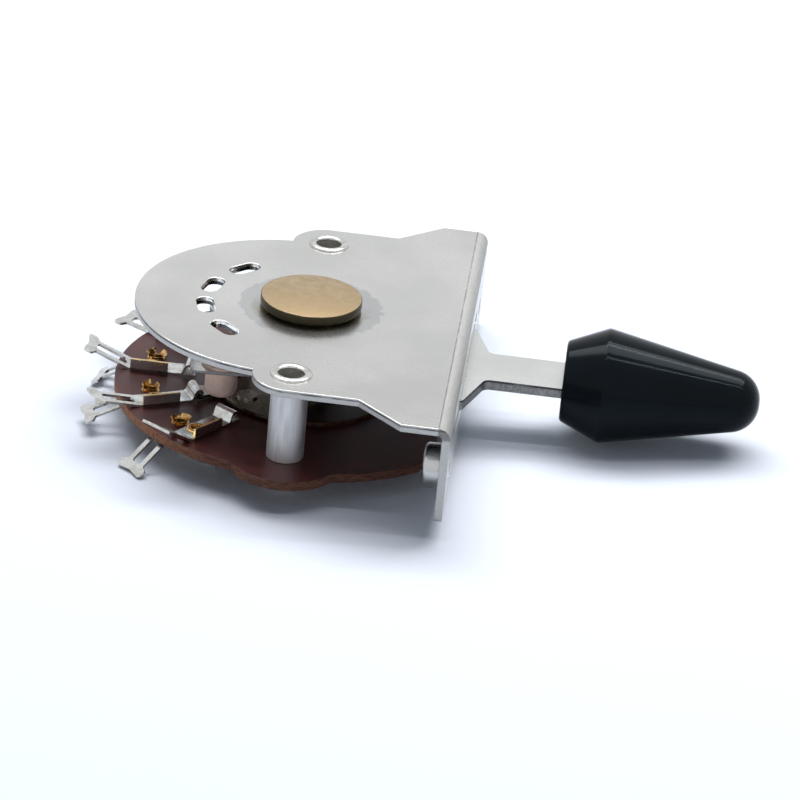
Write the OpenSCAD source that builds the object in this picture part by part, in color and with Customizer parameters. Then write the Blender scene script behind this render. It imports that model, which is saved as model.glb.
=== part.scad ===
/* [Frame] */
// Thickness of the bent sheet
sheet_t = 0.9; // [0.7:0.05:1.1]
// Length of the flange that goes against the panel
flange_len = 53; // [51:0.5:60]
// Height from the top of the plate to the lower edge of the flange
frame_h = 11.25; // [10.6:0.05:13]
// Distance from the flange's outer face back to the pivot axis
pivot_x = 18.1; // [17.8:0.1:20]
// Radius of the plate's rounded back
back_r = 17.7; // [16.5:0.1:19]
// Distance of that rounding's centre behind the pivot axis
back_x = 2; // [0.5:0.1:4]
// Distance from the flange's end in to the side of an ear
ear_inset = 4.65; // [3.5:0.05:5.5]
// Radius of an ear round its post
ear_r = 4.2; // [3.8:0.05:5]
// Distance from the pivot forward to the end of the straight ears
ear_x = 7.8; // [6:0.1:9]
// Distance from the pivot forward to where the plate is as wide as the flange
flare_x = 12.75; // [11:0.05:14.5]
// Inside radius of the bend
bend_r = 0.4; // [0.2:0.05:0.8]
// Corner radius at the flange's lower ends
flange_corner_r = 0.8; // [0.2:0.1:2]

/* [Panel fixing] */
// Distance between the two screw holes
screw_pitch = 41.3; // [40:0.1:44]
// Radius of a screw hole
screw_hole_r = 1.45; // [1.2:0.05:1.8]
// Height of the screw holes below the top of the plate
screw_drop = 7.3; // [6.8:0.05:8]
// Radius of the drawn boss round a screw hole
boss_r = 2.5; // [2.2:0.05:2.8]
// How far a boss stands in from the flange
boss_h = 2; // [1:0.1:2.4]

/* [Posts] */
// Length of the spacer between plate and board
spacer_len = 9; // [8.9:0.05:10]
// Outer radius of a spacer
spacer_r = 2.05; // [1.9:0.05:2.3]
// Outer radius of the tubular eyelet in a post
eyelet_r = 1.6; // [1.5:0.05:1.75]
// Bore radius of that eyelet
eyelet_bore_r = 1.4; // [1.2:0.05:1.45]
// Radius of its rolled rim
eyelet_rim_r = 2.3; // [2:0.05:2.6]
// Height of its rolled rim
eyelet_rim_h = 0.3; // [0.2:0.05:0.5]

/* [Detent] */
// Angle between two neighbouring positions of the lever
step_deg = 30; // [24:0.5:30]
// Angle from the middle line back to an outer window and a ball
window_deg = 43.5; // [42:0.5:47]
// Distance of windows and balls from the pivot axis
window_r = 11.8; // [11.6:0.05:12]
// Width of a window, towards the pivot
window_w = 2; // [1.6:0.1:2.3]
// Length of a window, round the pivot
window_l = 4; // [3:0.1:4.4]
// Radius of a detent ball
ball_r = 1.4; // [1.2:0.05:1.45]
// Gap between a ball and the underside of the plate
ball_gap = 0.05; // [0.03:0.01:0.1]
// Outer radius of a ball cup
cup_r = 1.8; // [1.75:0.05:1.9]
// Wall of a ball cup
cup_wall = 0.3; // [0.2:0.05:0.32]
// Depth of a cup below the lever
cup_depth = 2.2; // [1.8:0.05:2.25]
// Rounding at the foot of a cup
cup_foot_r = 0.9; // [0.3:0.1:1.2]
// Wire radius of a detent spring
wire_r = 0.17; // [0.12:0.01:0.2]
// Turns of a detent spring
spring_turns = 6; // [4:1:8]
// Thickness of the carrier that holds the cups
carrier_t = 0.35; // [0.3:0.05:0.4]
// Distance from a cup's axis out to the carrier's side edge
carrier_reach = 2.35; // [2.2:0.05:2.8]

/* [Lever] */
// Thickness of the lever
lever_t = 1.2; // [1:0.05:1.4]
// Distance from the top of the plate down to the lever
lever_drop = 4.7; // [4.5:0.05:4.9]
// Width of the arm
arm_w = 7; // [6:0.1:7.4]
// Distance of the shoulder's corners from the pivot axis
shoulder_r = 20.7; // [20:0.1:22]
// Half angle between those corners
shoulder_deg = 28; // [20:0.5:29]
// Width of the tang inside the knob
tang_w = 5; // [4:0.1:5.6]
// Length of the tang
tang_len = 14; // [8:0.5:16]
// Radius of the hub round the shaft
hub_r = 7; // [6:0.1:8]

/* [Knob] */
// Distance from the pivot axis to the foot of the knob
knob_x = 29; // [28:0.1:32]
// Length of the knob
knob_len = 22.1; // [19:0.1:25]
// Radius of the knob's foot
knob_foot_r = 4.5; // [4.2:0.05:5.5]
// Radius of the knob at its ridge
knob_ridge_r = 6.5; // [6:0.05:7.2]
// Distance of the ridge from the foot
knob_ridge_at = 4.6; // [3:0.1:7]
// Radius that the knob's long cone would have at the tip, without the rounding
knob_tip_r = 2.95; // [2.5:0.05:4]

/* [Shaft] */
// Radius of the shaft's flat head
head_r = 5.7; // [5.2:0.05:6.2]
// Thickness of that head
head_t = 1; // [0.6:0.05:1.4]
// Radius of the shaft
shaft_r = 3.15; // [2.8:0.05:3.3]
// Width across the shaft's two flats
flat_w = 4.4; // [4:0.1:5]
// Thickness of the washer under the head
washer_t = 0.3; // [0.2:0.05:0.5]
// Outer radius of that washer
washer_r = 4.8; // [4:0.1:5]
// Thickness of the push-on washer under the lever
clip_t = 0.5; // [0.3:0.05:0.8]
// Radius of the push-on washer
clip_r = 4.8; // [4.2:0.1:5.5]

/* [Board] */
// Radius of the board that carries the contacts
board_r = 21.4; // [21:0.05:22]
// Thickness of the board
board_t = 1.1; // [1:0.05:1.3]
// Radius of the board's ears round the posts
board_ear_r = 6.25; // [5:0.05:6.5]
// Distance from the pivot forward to the board's straight front edge
board_front = 15.9; // [14:0.1:16.2]

/* [Rotor] */
// Distance from the board's edge in to the rotor
rotor_inset = 11.5; // [11.3:0.05:12]
// Gap round the rotor in the board
rotor_gap = 0.3; // [0.15:0.05:0.4]
// How far the rotor stands out of the board on each side
rotor_rise = 0.38; // [0.36:0.01:0.45]
// Thickness of a rotor blade
blade_t = 0.3; // [0.2:0.02:0.34]
// How far a blade's ring reaches past the rotor
ring_lap = 0.7; // [0.5:0.05:0.8]
// Half angle of a blade's ring
ring_deg = 75; // [68:1:90]
// How far a blade's tongue reaches past the rotor
tongue_lap = 3.3; // [3:0.05:3.5]
// Half angle of a blade's tongue
tongue_deg = 5.5; // [4:0.5:7]

/* [Contacts] */
// Thickness of a contact's sheet
contact_t = 0.3; // [0.2:0.02:0.32]
// Width of a contact's strip
strip_w = 2.8; // [2.4:0.05:3]
// Height of a contact's folded wall
wall_h = 1.5; // [1:0.05:1.6]
// Distance from the board's edge in to the wall's inner end
wall_inset = 6; // [5.5:0.05:6.2]
// Length of the wall
wall_len = 4.3; // [3:0.1:4.5]
// Angle between neighbouring contacts
contact_deg = 27.5; // [26.5:0.5:28]
// Angle from the middle line to the first upper contact
first_deg = -55; // [-57:0.5:-54]
// Angle by which the lower contacts lie beside the upper ones
stagger_deg = 9; // [8.8:0.1:9.5]
// Distance from the board's edge in to a contact's eyelet
rivet_inset = 3.8; // [3.6:0.05:4]
// Distance from the board's edge in to the bend of a lug
lug_inset = 1.4; // [1:0.05:1.5]
// Length of a lug
lug_len = 5.5; // [5:0.1:6]
// Width of a lug across the two ears at its end
fork_w = 4; // [3.4:0.05:4.4]
// Depth of the notch between those ears
lug_notch = 0.35; // [0.2:0.05:0.5]
// Width of the slot along a lug
lug_slot_w = 1.3; // [1:0.05:1.5]
// Gap between a contact's jaw and the blade in it
jaw_gap = 0.05; // [0.03:0.01:0.08]

/* [Hidden] */
$fn = 64;

// Fits: a shaft that turns, pieces pushed together, and a rivet in its hole
run_fit = 0.05;
push_fit = 0.02;
// What a cut reaches past the face that it goes through
past = 1;

// Places across the frame: the ears follow the flange and the posts follow the ears
ear_w = flange_len / 2 - ear_inset;
post_y = ear_w - ear_r;

// Distances from the pivot axis that follow the board's edge
rotor_r = board_r - rotor_inset;
ring_r = rotor_r + ring_lap;
tongue_r = rotor_r + tongue_lap;
wall_in = board_r - wall_inset;
rivet_at = board_r - rivet_inset;
lug_root = board_r - lug_inset;

// Heights below the top of the plate
lever_top = -lever_drop;
lever_low = lever_top - lever_t;
carrier_top = lever_top + carrier_t;
board_top = -(sheet_t + spacer_len);
board_low = board_top - board_t;

// The slot passes the arm at both ends of its travel
slot_gap = 0.4;
slot_h = lever_t + 2 * slot_gap;
slot_half = pivot_x * tan(step_deg) + arm_w / 2 / cos(step_deg) + slot_gap;

ball_z = -sheet_t - ball_gap - ball_r;
cup_low = lever_low - cup_depth;
cup_rim = ball_z - 0.3;
cup_collar_t = 0.3;
cup_collar_r = cup_r + 0.5;
shaft_end = 0.5;
coil_r = cup_r - cup_wall - wire_r - 0.25;

// Places of the windows, as angles back from the middle line
window_degs = [window_deg, window_deg - step_deg, step_deg - window_deg, -window_deg];

// How steeply each lug is bent away from the board
top_bends = [31, 13, 23, 3];
bottom_bends = [36, 21, 31, 27];
// The last contact of each row touches the blade's ring in every position
common = 3;
jaw_in = tongue_r - 0.9;
common_in = ring_r - 0.9;
fold_r = 0.25;
base_w = strip_w - fold_r;
base_in = rotor_r + 2 * rotor_gap;

rivet_r = 1;
rivet_bore_r = 0.75;
rivet_head_r = 1.25;
rivet_head_t = 0.18;
flare_r = 1.35;
flare_h = 0.65;
slit_w = 0.3;

blade_rivet_r = 0.6;
blade_rivet_head_r = 1.15;
blade_rivet_at = rotor_r - 1.8;
blade_rivet_degs = [-45, 0, 45];

function unit(v) = v / norm(v);

// The arc that rounds the corner b between its neighbours a and c
function corner_arc(a, b, c, r, n) =
    let (
        u = unit(a - b),
        w = unit(c - b),
        half = acos(u * w) / 2,
        middle = b + unit(u + w) * r / sin(half),
        p = b + u * r / tan(half) - middle,
        q = b + w * r / tan(half) - middle,
        start = atan2(p.y, p.x),
        turn = (atan2(q.y, q.x) - start + 540) % 360 - 180
    )
    [for (i = [0:n]) middle + r * [cos(start + turn * i / n), sin(start + turn * i / n)]];

// An outline whose corners are rounded by the radii in the second list
function rounded(points, radii, n = 5) =
    let (count = len(points))
    [for (i = [0:count - 1]) each (
        radii[i] == 0 ? [points[i]] :
        corner_arc(points[(i + count - 1) % count], points[i], points[(i + 1) % count], radii[i], n)
    )];

// A point at a distance from the pivot and an angle from the middle line at the back
function behind(r, deg) = [-r * cos(deg), r * sin(deg)];

// Shapes are drawn round the pivot and the top of the plate, then moved to the panel face
module from_panel() {
    translate([-pivot_x, 0, screw_drop]) children();
}

// Turns a shape drawn along +X so that it lies behind the pivot
module turned(deg) {
    rotate([0, 0, 180 - deg]) children();
}

// A sheet strip seen from its side, bent along a line of points
module ribbon(points, t) {
    for (i = [0:len(points) - 2]) {
        along = unit(points[i + 1] - points[i]);
        across = [-along.y, along.x] * t / 2;
        polygon([points[i] - across, points[i + 1] - across, points[i + 1] + across, points[i] + across]);
    }
    for (i = [1:len(points) - 2]) translate(points[i]) circle(d = t, $fn = 24);
}

// A round shaft's section with two flats
module flatted(grow) {
    intersection() {
        circle(r = shaft_r + grow);
        square([2 * shaft_r + 2 * past, flat_w + 2 * grow], center = true);
    }
}

// A piece of a disc between two angles from the middle line at the back
module sector(r, low_deg, high_deg) {
    reach = 2 * r;
    steps = 4;
    intersection() {
        circle(r = r);
        polygon(concat([[0, 0]], [for (i = [0:steps]) behind(reach, low_deg + (high_deg - low_deg) * i / steps)]));
    }
}

module plate_outline() {
    bend_x = pivot_x - sheet_t - bend_r;
    translate([-back_x, 0]) circle(r = back_r, $fn = 128);
    for (side = [-1, 1]) translate([0, side * post_y]) circle(r = ear_r);
    polygon([
        [0, -ear_w], [ear_x, -ear_w], [flare_x, -flange_len / 2], [bend_x, -flange_len / 2],
        [bend_x, flange_len / 2], [flare_x, flange_len / 2], [ear_x, ear_w], [0, ear_w]
    ]);
}

module windows() {
    straight = window_l - window_w;
    for (deg = window_degs) turned(deg) translate([window_r, 0]) {
        square([window_w, straight], center = true);
        for (end = [-1, 1]) translate([0, end * straight / 2]) circle(d = window_w, $fn = 32);
    }
}

module plate() {
    translate([0, 0, -sheet_t]) linear_extrude(sheet_t) difference() {
        plate_outline();
        circle(r = shaft_r + run_fit);
        for (side = [-1, 1]) translate([0, side * post_y]) circle(r = eyelet_r + push_fit);
        windows();
    }
}

module bend() {
    outer = bend_r + sheet_t;
    translate([pivot_x - outer, 0, -outer]) rotate([90, 0, 0])
        linear_extrude(flange_len, center = true) intersection() {
            difference() {
                circle(r = outer);
                circle(r = bend_r);
            }
            square(outer);
        }
}

module flange() {
    top = -sheet_t - bend_r;
    outline = rounded(
        [[-flange_len / 2, -frame_h], [flange_len / 2, -frame_h], [flange_len / 2, top], [-flange_len / 2, top]],
        [flange_corner_r, flange_corner_r, 0, 0]
    );
    translate([pivot_x - sheet_t, 0, 0]) rotate([90, 0, 90]) linear_extrude(sheet_t) polygon(outline);
}

module boss() {
    inner_face = pivot_x - sheet_t;
    translate([inner_face, 0, -screw_drop]) rotate([0, -90, 0])
        rotate_extrude() polygon(rounded([[0, 0], [boss_r, 0], [boss_r, boss_h], [0, boss_h]], [0, 0, 0.7, 0]));
}

module lever_slot() {
    middle_z = lever_top - lever_t / 2;
    translate([pivot_x - sheet_t / 2, 0, middle_z]) {
        cube([sheet_t + 2 * past, 2 * slot_half - slot_h, slot_h], center = true);
        for (side = [-1, 1]) translate([0, side * (slot_half - slot_h / 2), 0]) rotate([0, 90, 0])
            cylinder(d = slot_h, h = sheet_t + 2 * past, center = true, $fn = 32);
    }
}

module frame() {
    color([0.78, 0.78, 0.76]) from_panel() difference() {
        union() {
            plate();
            bend();
            flange();
            for (side = [-1, 1]) translate([0, side * screw_pitch / 2, 0]) boss();
        }
        lever_slot();
        for (side = [-1, 1]) translate([pivot_x + past, side * screw_pitch / 2, -screw_drop]) rotate([0, -90, 0])
            cylinder(r = screw_hole_r, h = sheet_t + boss_h + 2 * past);
    }
}

module thrust_washer() {
    color([0.2, 0.18, 0.15]) from_panel() linear_extrude(washer_t) difference() {
        circle(r = washer_r);
        circle(r = shaft_r + run_fit);
    }
}

module spacer(side) {
    color([0.8, 0.8, 0.8]) from_panel() translate([0, side * post_y, board_top]) linear_extrude(spacer_len)
        difference() {
            circle(r = spacer_r);
            circle(r = eyelet_r + push_fit);
        }
}

// A tube with a rolled rim at both ends
module post_eyelet(side) {
    low = board_low;
    edge = eyelet_rim_h * 0.45;
    rim_profile = rounded(
        [
            [eyelet_bore_r, low - eyelet_rim_h], [eyelet_rim_r, low - eyelet_rim_h],
            [eyelet_rim_r, low], [eyelet_r, low], [eyelet_r, 0], [eyelet_rim_r, 0],
            [eyelet_rim_r, eyelet_rim_h], [eyelet_bore_r, eyelet_rim_h]
        ],
        [edge, edge, 0, 0, 0, 0, edge, edge]
    );
    color([0.8, 0.8, 0.8]) from_panel() translate([0, side * post_y, 0]) rotate_extrude() polygon(rim_profile);
}

module board() {
    color([0.42, 0.2, 0.16]) from_panel() translate([0, 0, board_low]) linear_extrude(board_t) difference() {
        union() {
            intersection() {
                circle(r = board_r, $fn = 128);
                translate([-2 * board_r, -board_r]) square([2 * board_r + board_front, 2 * board_r]);
            }
            for (side = [-1, 1]) translate([0, side * post_y]) circle(r = board_ear_r);
        }
        circle(r = rotor_r + rotor_gap);
        for (side = [-1, 1]) translate([0, side * post_y]) circle(r = eyelet_r + push_fit);
        for (i = [0:3]) {
            translate(behind(rivet_at, first_deg + i * contact_deg)) circle(r = rivet_r + push_fit, $fn = 32);
            translate(behind(rivet_at, first_deg + stagger_deg + i * contact_deg))
                circle(r = rivet_r + push_fit, $fn = 32);
        }
    }
}

// The lug lies flat along +X from its bend, with a slot between two rails and two rounded ears at its end
module lug_outline() {
    half = base_w / 2;
    ear = fork_w / 2;
    slot_from = 0.35;
    slot_to = lug_len - 1.4;
    difference() {
        polygon(rounded(
            [
                [0, -half], [lug_len - 1.4, -half], [lug_len - 1.1, -ear], [lug_len, -ear], [lug_len - lug_notch, 0],
                [lug_len, ear], [lug_len - 1.1, ear], [lug_len - 1.4, half], [0, half]
            ],
            [0, 0.25, 0.35, 0.35, 1.2, 0.35, 0.35, 0.25, 0], 4
        ));
        translate([slot_from, -lug_slot_w / 2]) polygon(rounded(
            [[0, 0], [slot_to - slot_from, 0], [slot_to - slot_from, lug_slot_w], [0, lug_slot_w]],
            [0.3, 0.3, 0.3, 0.3], 3
        ));
    }
}

// One contact, drawn along +X on a board face at height 0, with its wall on the +Y side
module contact_shape(inner, bend_deg) {
    half_t = contact_t / 2;
    wall_side = strip_w / 2 + 0.25;
    base_side = wall_side - fold_r;
    base_y = base_side - base_w / 2;
    fold_y = wall_side - half_t;
    tip = rotor_rise + blade_t + jaw_gap + half_t;
    crest = wall_h - half_t;
    base_from = max(inner, base_in);
    difference() {
        union() {
            translate([base_from, base_side - base_w, 0]) cube([lug_root - base_from, base_w, contact_t]);
            translate([wall_in, 0, 0]) rotate([90, 0, 90]) linear_extrude(wall_len) ribbon([
                [0, half_t], [fold_y - fold_r, half_t], [fold_y - fold_r * 0.3, half_t + fold_r * 0.3],
                [fold_y, half_t + fold_r], [fold_y, wall_h]
            ], contact_t);
            translate([0, base_side, 0]) rotate([90, 0, 0]) linear_extrude(base_w) ribbon([
                [inner + 2.4, half_t], [inner + 1.6, half_t + 0.05], [inner + 1.35, half_t + 0.3],
                [inner + 1.2, crest - 0.4], [inner + 1.05, crest - 0.12], [inner + 0.8, crest],
                [inner + 0.55, crest - 0.08], [inner + 0.4, crest - 0.3], [inner + 0.5, tip]
            ], contact_t);
            translate([inner + 0.5, base_side, tip]) rotate([90, 0, 0])
                cylinder(d = contact_t, h = base_w, $fn = 24);
            translate([lug_root, base_y, half_t]) {
                rotate([90, 0, 0]) cylinder(d = contact_t, h = base_w, center = true, $fn = 24);
                rotate([0, -bend_deg, 0]) translate([0, 0, -half_t]) linear_extrude(contact_t) lug_outline();
            }
        }
        translate([rivet_at, 0, -past]) cylinder(r = rivet_r + push_fit, h = wall_h + 2 * past, $fn = 32);
    }
}

module contact_top(i) {
    inner = i == common ? common_in : jaw_in;
    color([0.82, 0.8, 0.72]) from_panel() turned(first_deg + i * contact_deg) translate([0, 0, board_top])
        contact_shape(inner, top_bends[i]);
}

module contact_bottom(i) {
    inner = i == common ? common_in : jaw_in;
    color([0.82, 0.8, 0.72]) from_panel() turned(first_deg + stagger_deg + i * contact_deg)
        translate([0, 0, board_low]) rotate([180, 0, 0]) contact_shape(inner, bottom_bends[i]);
}

// A brass eyelet with its head on a contact and its split flare on the far side of the board
module contact_eyelet() {
    grip = contact_t + board_t;
    rotate_extrude($fn = 32) polygon([
        [rivet_bore_r, -board_t], [rivet_r, -board_t], [rivet_r, contact_t], [rivet_head_r, contact_t],
        [rivet_head_r - 0.1, contact_t + rivet_head_t], [rivet_bore_r, contact_t + rivet_head_t]
    ]);
    translate([0, 0, -board_t]) difference() {
        rotate_extrude($fn = 32) polygon([
            [rivet_bore_r, 0], [rivet_r + 0.1, 0], [flare_r, -flare_h * 0.5], [flare_r, -flare_h * 0.85],
            [flare_r - 0.2, -flare_h], [rivet_bore_r + 0.1, -flare_h * 0.6]
        ]);
        for (deg = [25, 115]) rotate([0, 0, deg]) translate([0, 0, -grip / 2 - 0.12])
            cube([3 * flare_r, slit_w, grip], center = true);
    }
}

module contact_eyelets() {
    color([0.8, 0.6, 0.25]) from_panel() for (i = [0:3]) {
        turned(first_deg + i * contact_deg) translate([rivet_at, 0, board_top]) contact_eyelet();
        turned(first_deg + stagger_deg + i * contact_deg) translate([rivet_at, 0, board_low])
            rotate([180, 0, 0]) contact_eyelet();
    }
}

module pivot_shaft() {
    head_low = washer_t + run_fit;
    foot = board_low - rotor_rise - blade_t - shaft_end;
    color([0.7, 0.55, 0.35]) from_panel() {
        translate([0, 0, head_low]) rotate_extrude($fn = 96)
            polygon(rounded([[0, 0], [head_r, 0], [head_r, head_t], [0, head_t]], [0, 0.12, 0.12, 0], 3));
        translate([0, 0, carrier_top]) cylinder(r = shaft_r, h = head_low - carrier_top);
        translate([0, 0, foot]) linear_extrude(carrier_top - foot) flatted(0);
    }
}

module lever() {
    knob_end = knob_x + tang_len;
    side = [
        [-hub_r, hub_r], [hub_r * 0.6, hub_r * 0.95],
        [shoulder_r * cos(shoulder_deg), shoulder_r * sin(shoulder_deg)],
        [sqrt(shoulder_r * shoulder_r - arm_w * arm_w / 4), arm_w / 2], [knob_x, arm_w / 2],
        [knob_x, tang_w / 2], [knob_end, tang_w / 2]
    ];
    corners = [hub_r * 0.95, 2, 0.6, 0.9, 0, 0, 1];
    color([0.76, 0.75, 0.73]) from_panel() translate([0, 0, lever_low]) linear_extrude(lever_t) difference() {
        polygon(rounded(
            concat(side, [for (i = [6:-1:0]) [side[i].x, -side[i].y]]),
            concat(corners, [for (i = [6:-1:0]) corners[i]]), 8
        ));
        flatted(push_fit);
    }
}

// A thin sheet on the lever, with a wing that reaches out round each ball cup
module detent_carrier() {
    cup_at = behind(window_r, window_deg);
    side_y = cup_at.y + carrier_reach;
    wing = [
        [0, hub_r * 0.9], [cup_at.x + carrier_reach * 1.8, side_y - 0.4],
        [cup_at.x - carrier_reach * 1.4, side_y + 0.5], [cup_at.x - carrier_reach * 1.5, cup_at.y - carrier_reach]
    ];
    corners = [0, 0.8, 0.8, 1.2];
    color([0.76, 0.75, 0.73]) from_panel() translate([0, 0, lever_top]) linear_extrude(carrier_t) difference() {
        polygon(rounded(
            concat([[hub_r * 0.7, 0]], wing, [[-hub_r, 0]], [for (i = [3:-1:0]) [wing[i].x, -wing[i].y]]),
            concat([2], corners, [2], [for (i = [3:-1:0]) corners[i]])
        ));
        flatted(push_fit);
        for (side = [-1, 1]) translate(behind(window_r, side * window_deg)) circle(r = cup_r + push_fit);
    }
}

module push_on_washer() {
    color([0.6, 0.6, 0.6]) from_panel() translate([0, 0, lever_low - clip_t]) linear_extrude(clip_t) difference() {
        circle(r = clip_r);
        flatted(push_fit);
    }
}

// A turned profile with a short cone, a ridge, a long cone and a tip that is nearly half a ball
module knob() {
    tip_round = knob_tip_r * 1.12;
    profile = rounded(
        [[0, 0], [knob_foot_r, 0], [knob_ridge_r, knob_ridge_at], [knob_tip_r, knob_len], [0, knob_len]],
        [0, 0.5, 0.9, tip_round, 0], 8
    );
    middle_z = lever_top - lever_t / 2;
    color([0.05, 0.06, 0.09]) from_panel() difference() {
        translate([knob_x, 0, middle_z]) rotate([0, 90, 0]) rotate_extrude($fn = 96) polygon(profile);
        translate([knob_x - past, -tang_w / 2 - push_fit, lever_low - push_fit])
            cube([tang_len + past + 0.3, tang_w + 2 * push_fit, lever_t + 2 * push_fit]);
    }
}

module detent_cup(deg) {
    wall_in_r = cup_r - cup_wall;
    profile = rounded(
        [
            [0, cup_low], [cup_r, cup_low], [cup_r, carrier_top], [cup_collar_r, carrier_top],
            [cup_collar_r, carrier_top + cup_collar_t], [cup_r, carrier_top + cup_collar_t], [cup_r, cup_rim],
            [wall_in_r, cup_rim], [wall_in_r, cup_low + cup_wall], [0, cup_low + cup_wall]
        ],
        [0, cup_foot_r, 0, 0, 0.1, 0, 0, 0, 0.3, 0]
    );
    color([0.7, 0.66, 0.64]) from_panel() translate(behind(window_r, deg)) rotate_extrude($fn = 48) polygon(profile);
}

// A round wire wound into a helix, with the section drawn in the plane through the spring's axis
module coil(r, wire, height, turns) {
    sides = 8;
    rings = turns * 14;
    points = [for (i = [0:rings], k = [0:sides - 1]) let (
        turn = 360 * turns * i / rings,
        reach = r + wire * cos(360 * k / sides)
    ) [reach * cos(turn), reach * sin(turn), height * i / rings + wire * sin(360 * k / sides)]];
    skin = [for (i = [0:rings - 1], k = [0:sides - 1]) let (next = (k + 1) % sides)
        [i * sides + k, (i + 1) * sides + k, (i + 1) * sides + next, i * sides + next]];
    polyhedron(points, concat(
        skin, [[for (k = [0:sides - 1]) k]], [[for (k = [sides - 1:-1:0]) rings * sides + k]]
    ));
}

module detent_spring(deg) {
    low = cup_low + cup_wall + wire_r + 0.05;
    high = ball_z - sqrt(ball_r * ball_r - coil_r * coil_r) - wire_r * 1.6;
    color([0.7, 0.7, 0.72]) from_panel() translate(concat(behind(window_r, deg), low))
        coil(coil_r, wire_r, high - low, spring_turns);
}

module detent_ball(deg) {
    color([0.85, 0.85, 0.85]) from_panel() translate(concat(behind(window_r, deg), ball_z))
        sphere(r = ball_r, $fn = 48);
}

module rotor() {
    color([0.3, 0.16, 0.12]) from_panel() translate([0, 0, board_low - rotor_rise])
        linear_extrude(board_t + 2 * rotor_rise) difference() {
            circle(r = rotor_r);
            flatted(run_fit);
            for (deg = blade_rivet_degs) translate(behind(blade_rivet_at, deg))
                circle(r = blade_rivet_r + push_fit, $fn = 32);
        }
}

// A ring that the common contact always touches, with one tongue that reaches a contact at a time
module blade(tongue_at) {
    linear_extrude(blade_t) difference() {
        union() {
            sector(ring_r, -ring_deg, ring_deg);
            sector(tongue_r, tongue_at - tongue_deg, tongue_at + tongue_deg);
            circle(r = shaft_r + 2);
        }
        flatted(run_fit);
        for (deg = blade_rivet_degs) translate(behind(blade_rivet_at, deg))
            circle(r = blade_rivet_r + push_fit, $fn = 32);
    }
}

module rotor_blade_top() {
    color([0.85, 0.83, 0.78]) from_panel() translate([0, 0, board_top + rotor_rise])
        blade(first_deg + contact_deg);
}

module rotor_blade_bottom() {
    color([0.85, 0.83, 0.78]) from_panel() translate([0, 0, board_low - rotor_rise - blade_t])
        blade(first_deg + stagger_deg + contact_deg);
}

module rotor_rivets() {
    head_t = 0.25;
    low = board_low - rotor_rise - blade_t;
    high = board_top + rotor_rise + blade_t;
    color([0.8, 0.6, 0.25]) from_panel() for (deg = blade_rivet_degs) translate(behind(blade_rivet_at, deg)) {
        translate([0, 0, low]) cylinder(r = blade_rivet_r, h = high - low, $fn = 32);
        translate([0, 0, high]) cylinder(r = blade_rivet_head_r, h = head_t, $fn = 32);
        translate([0, 0, low - head_t]) cylinder(r = blade_rivet_head_r, h = head_t, $fn = 32);
    }
}

frame();
thrust_washer();
spacer(-1);  // spacer_left
spacer(1);  // spacer_right
post_eyelet(-1);  // eyelet_left
post_eyelet(1);  // eyelet_right
board();
contact_top(0);  // contact_top_1
contact_top(1);  // contact_top_2
contact_top(2);  // contact_top_3
contact_top(3);  // contact_top_4
contact_bottom(0);  // contact_bottom_1
contact_bottom(1);  // contact_bottom_2
contact_bottom(2);  // contact_bottom_3
contact_bottom(3);  // contact_bottom_4
contact_eyelets();
pivot_shaft();
lever();
knob();
push_on_washer();
detent_carrier();
detent_cup(-window_deg);  // detent_cup_left
detent_cup(window_deg);  // detent_cup_right
detent_spring(-window_deg);  // detent_spring_left
detent_spring(window_deg);  // detent_spring_right
detent_ball(-window_deg);  // detent_ball_left
detent_ball(window_deg);  // detent_ball_right
rotor();
rotor_blade_top();
rotor_blade_bottom();
rotor_rivets();
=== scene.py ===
# %% [markdown]
# # A lever switch, dressed
# The solids of the switch come in as a fixed frame: a bent sheet, a lever on a shaft, and a board with
# folded contacts. Each step below takes one piece or finish of the real switch, says how it could be made
# in Blender, and makes it. Everything is in metres, so a millimetre is written as 1 * MM.

# %% Load the solids
import math
import bmesh
import bpy
import numpy as np
from mathutils import Matrix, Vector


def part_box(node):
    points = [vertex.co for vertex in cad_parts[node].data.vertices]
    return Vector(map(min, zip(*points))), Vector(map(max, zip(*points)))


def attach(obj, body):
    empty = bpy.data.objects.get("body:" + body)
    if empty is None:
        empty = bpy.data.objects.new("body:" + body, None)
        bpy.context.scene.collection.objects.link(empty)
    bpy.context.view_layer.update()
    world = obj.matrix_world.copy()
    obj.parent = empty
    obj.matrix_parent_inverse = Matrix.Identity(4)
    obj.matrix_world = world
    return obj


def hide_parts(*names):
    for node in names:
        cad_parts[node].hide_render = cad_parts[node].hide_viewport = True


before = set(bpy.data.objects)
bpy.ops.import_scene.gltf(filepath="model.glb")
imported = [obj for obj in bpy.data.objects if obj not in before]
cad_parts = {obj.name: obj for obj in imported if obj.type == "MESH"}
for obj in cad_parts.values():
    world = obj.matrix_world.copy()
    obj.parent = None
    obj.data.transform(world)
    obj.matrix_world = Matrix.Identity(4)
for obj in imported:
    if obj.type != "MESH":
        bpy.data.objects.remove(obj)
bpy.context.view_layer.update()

MM = 0.001
scene = bpy.context.scene
PLATE_TOP, LEVER_TOP = 7.3, 2.6
PIVOT = np.array([-18.1, 0.0, PLATE_TOP]) * MM

# %% [markdown]
# ## The camera
# The photograph was taken from the side and a little above, with a long lens from about 40 cm away. Its
# place was worked out from points of the object seen in the picture. A camera can be aimed by a constraint,
# but three angles and a distance say the same and leave nothing live in the file.

# %% Place the camera
def camera_axes(azimuth, elevation, roll):
    """Right, up and back of a camera. Back = (sin a cos e, -cos a cos e, sin e). Right and up are square to
    it, and then both are turned by the roll about back."""
    a, e, r = np.radians([azimuth, elevation, roll])
    back = np.array([np.sin(a) * np.cos(e), -np.cos(a) * np.cos(e), np.sin(e)])
    level = np.array([np.cos(a), np.sin(a), 0])
    upright = np.cross(back, level)
    return np.array([np.cos(r) * level + np.sin(r) * upright, np.cos(r) * upright - np.sin(r) * level, back])


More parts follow.
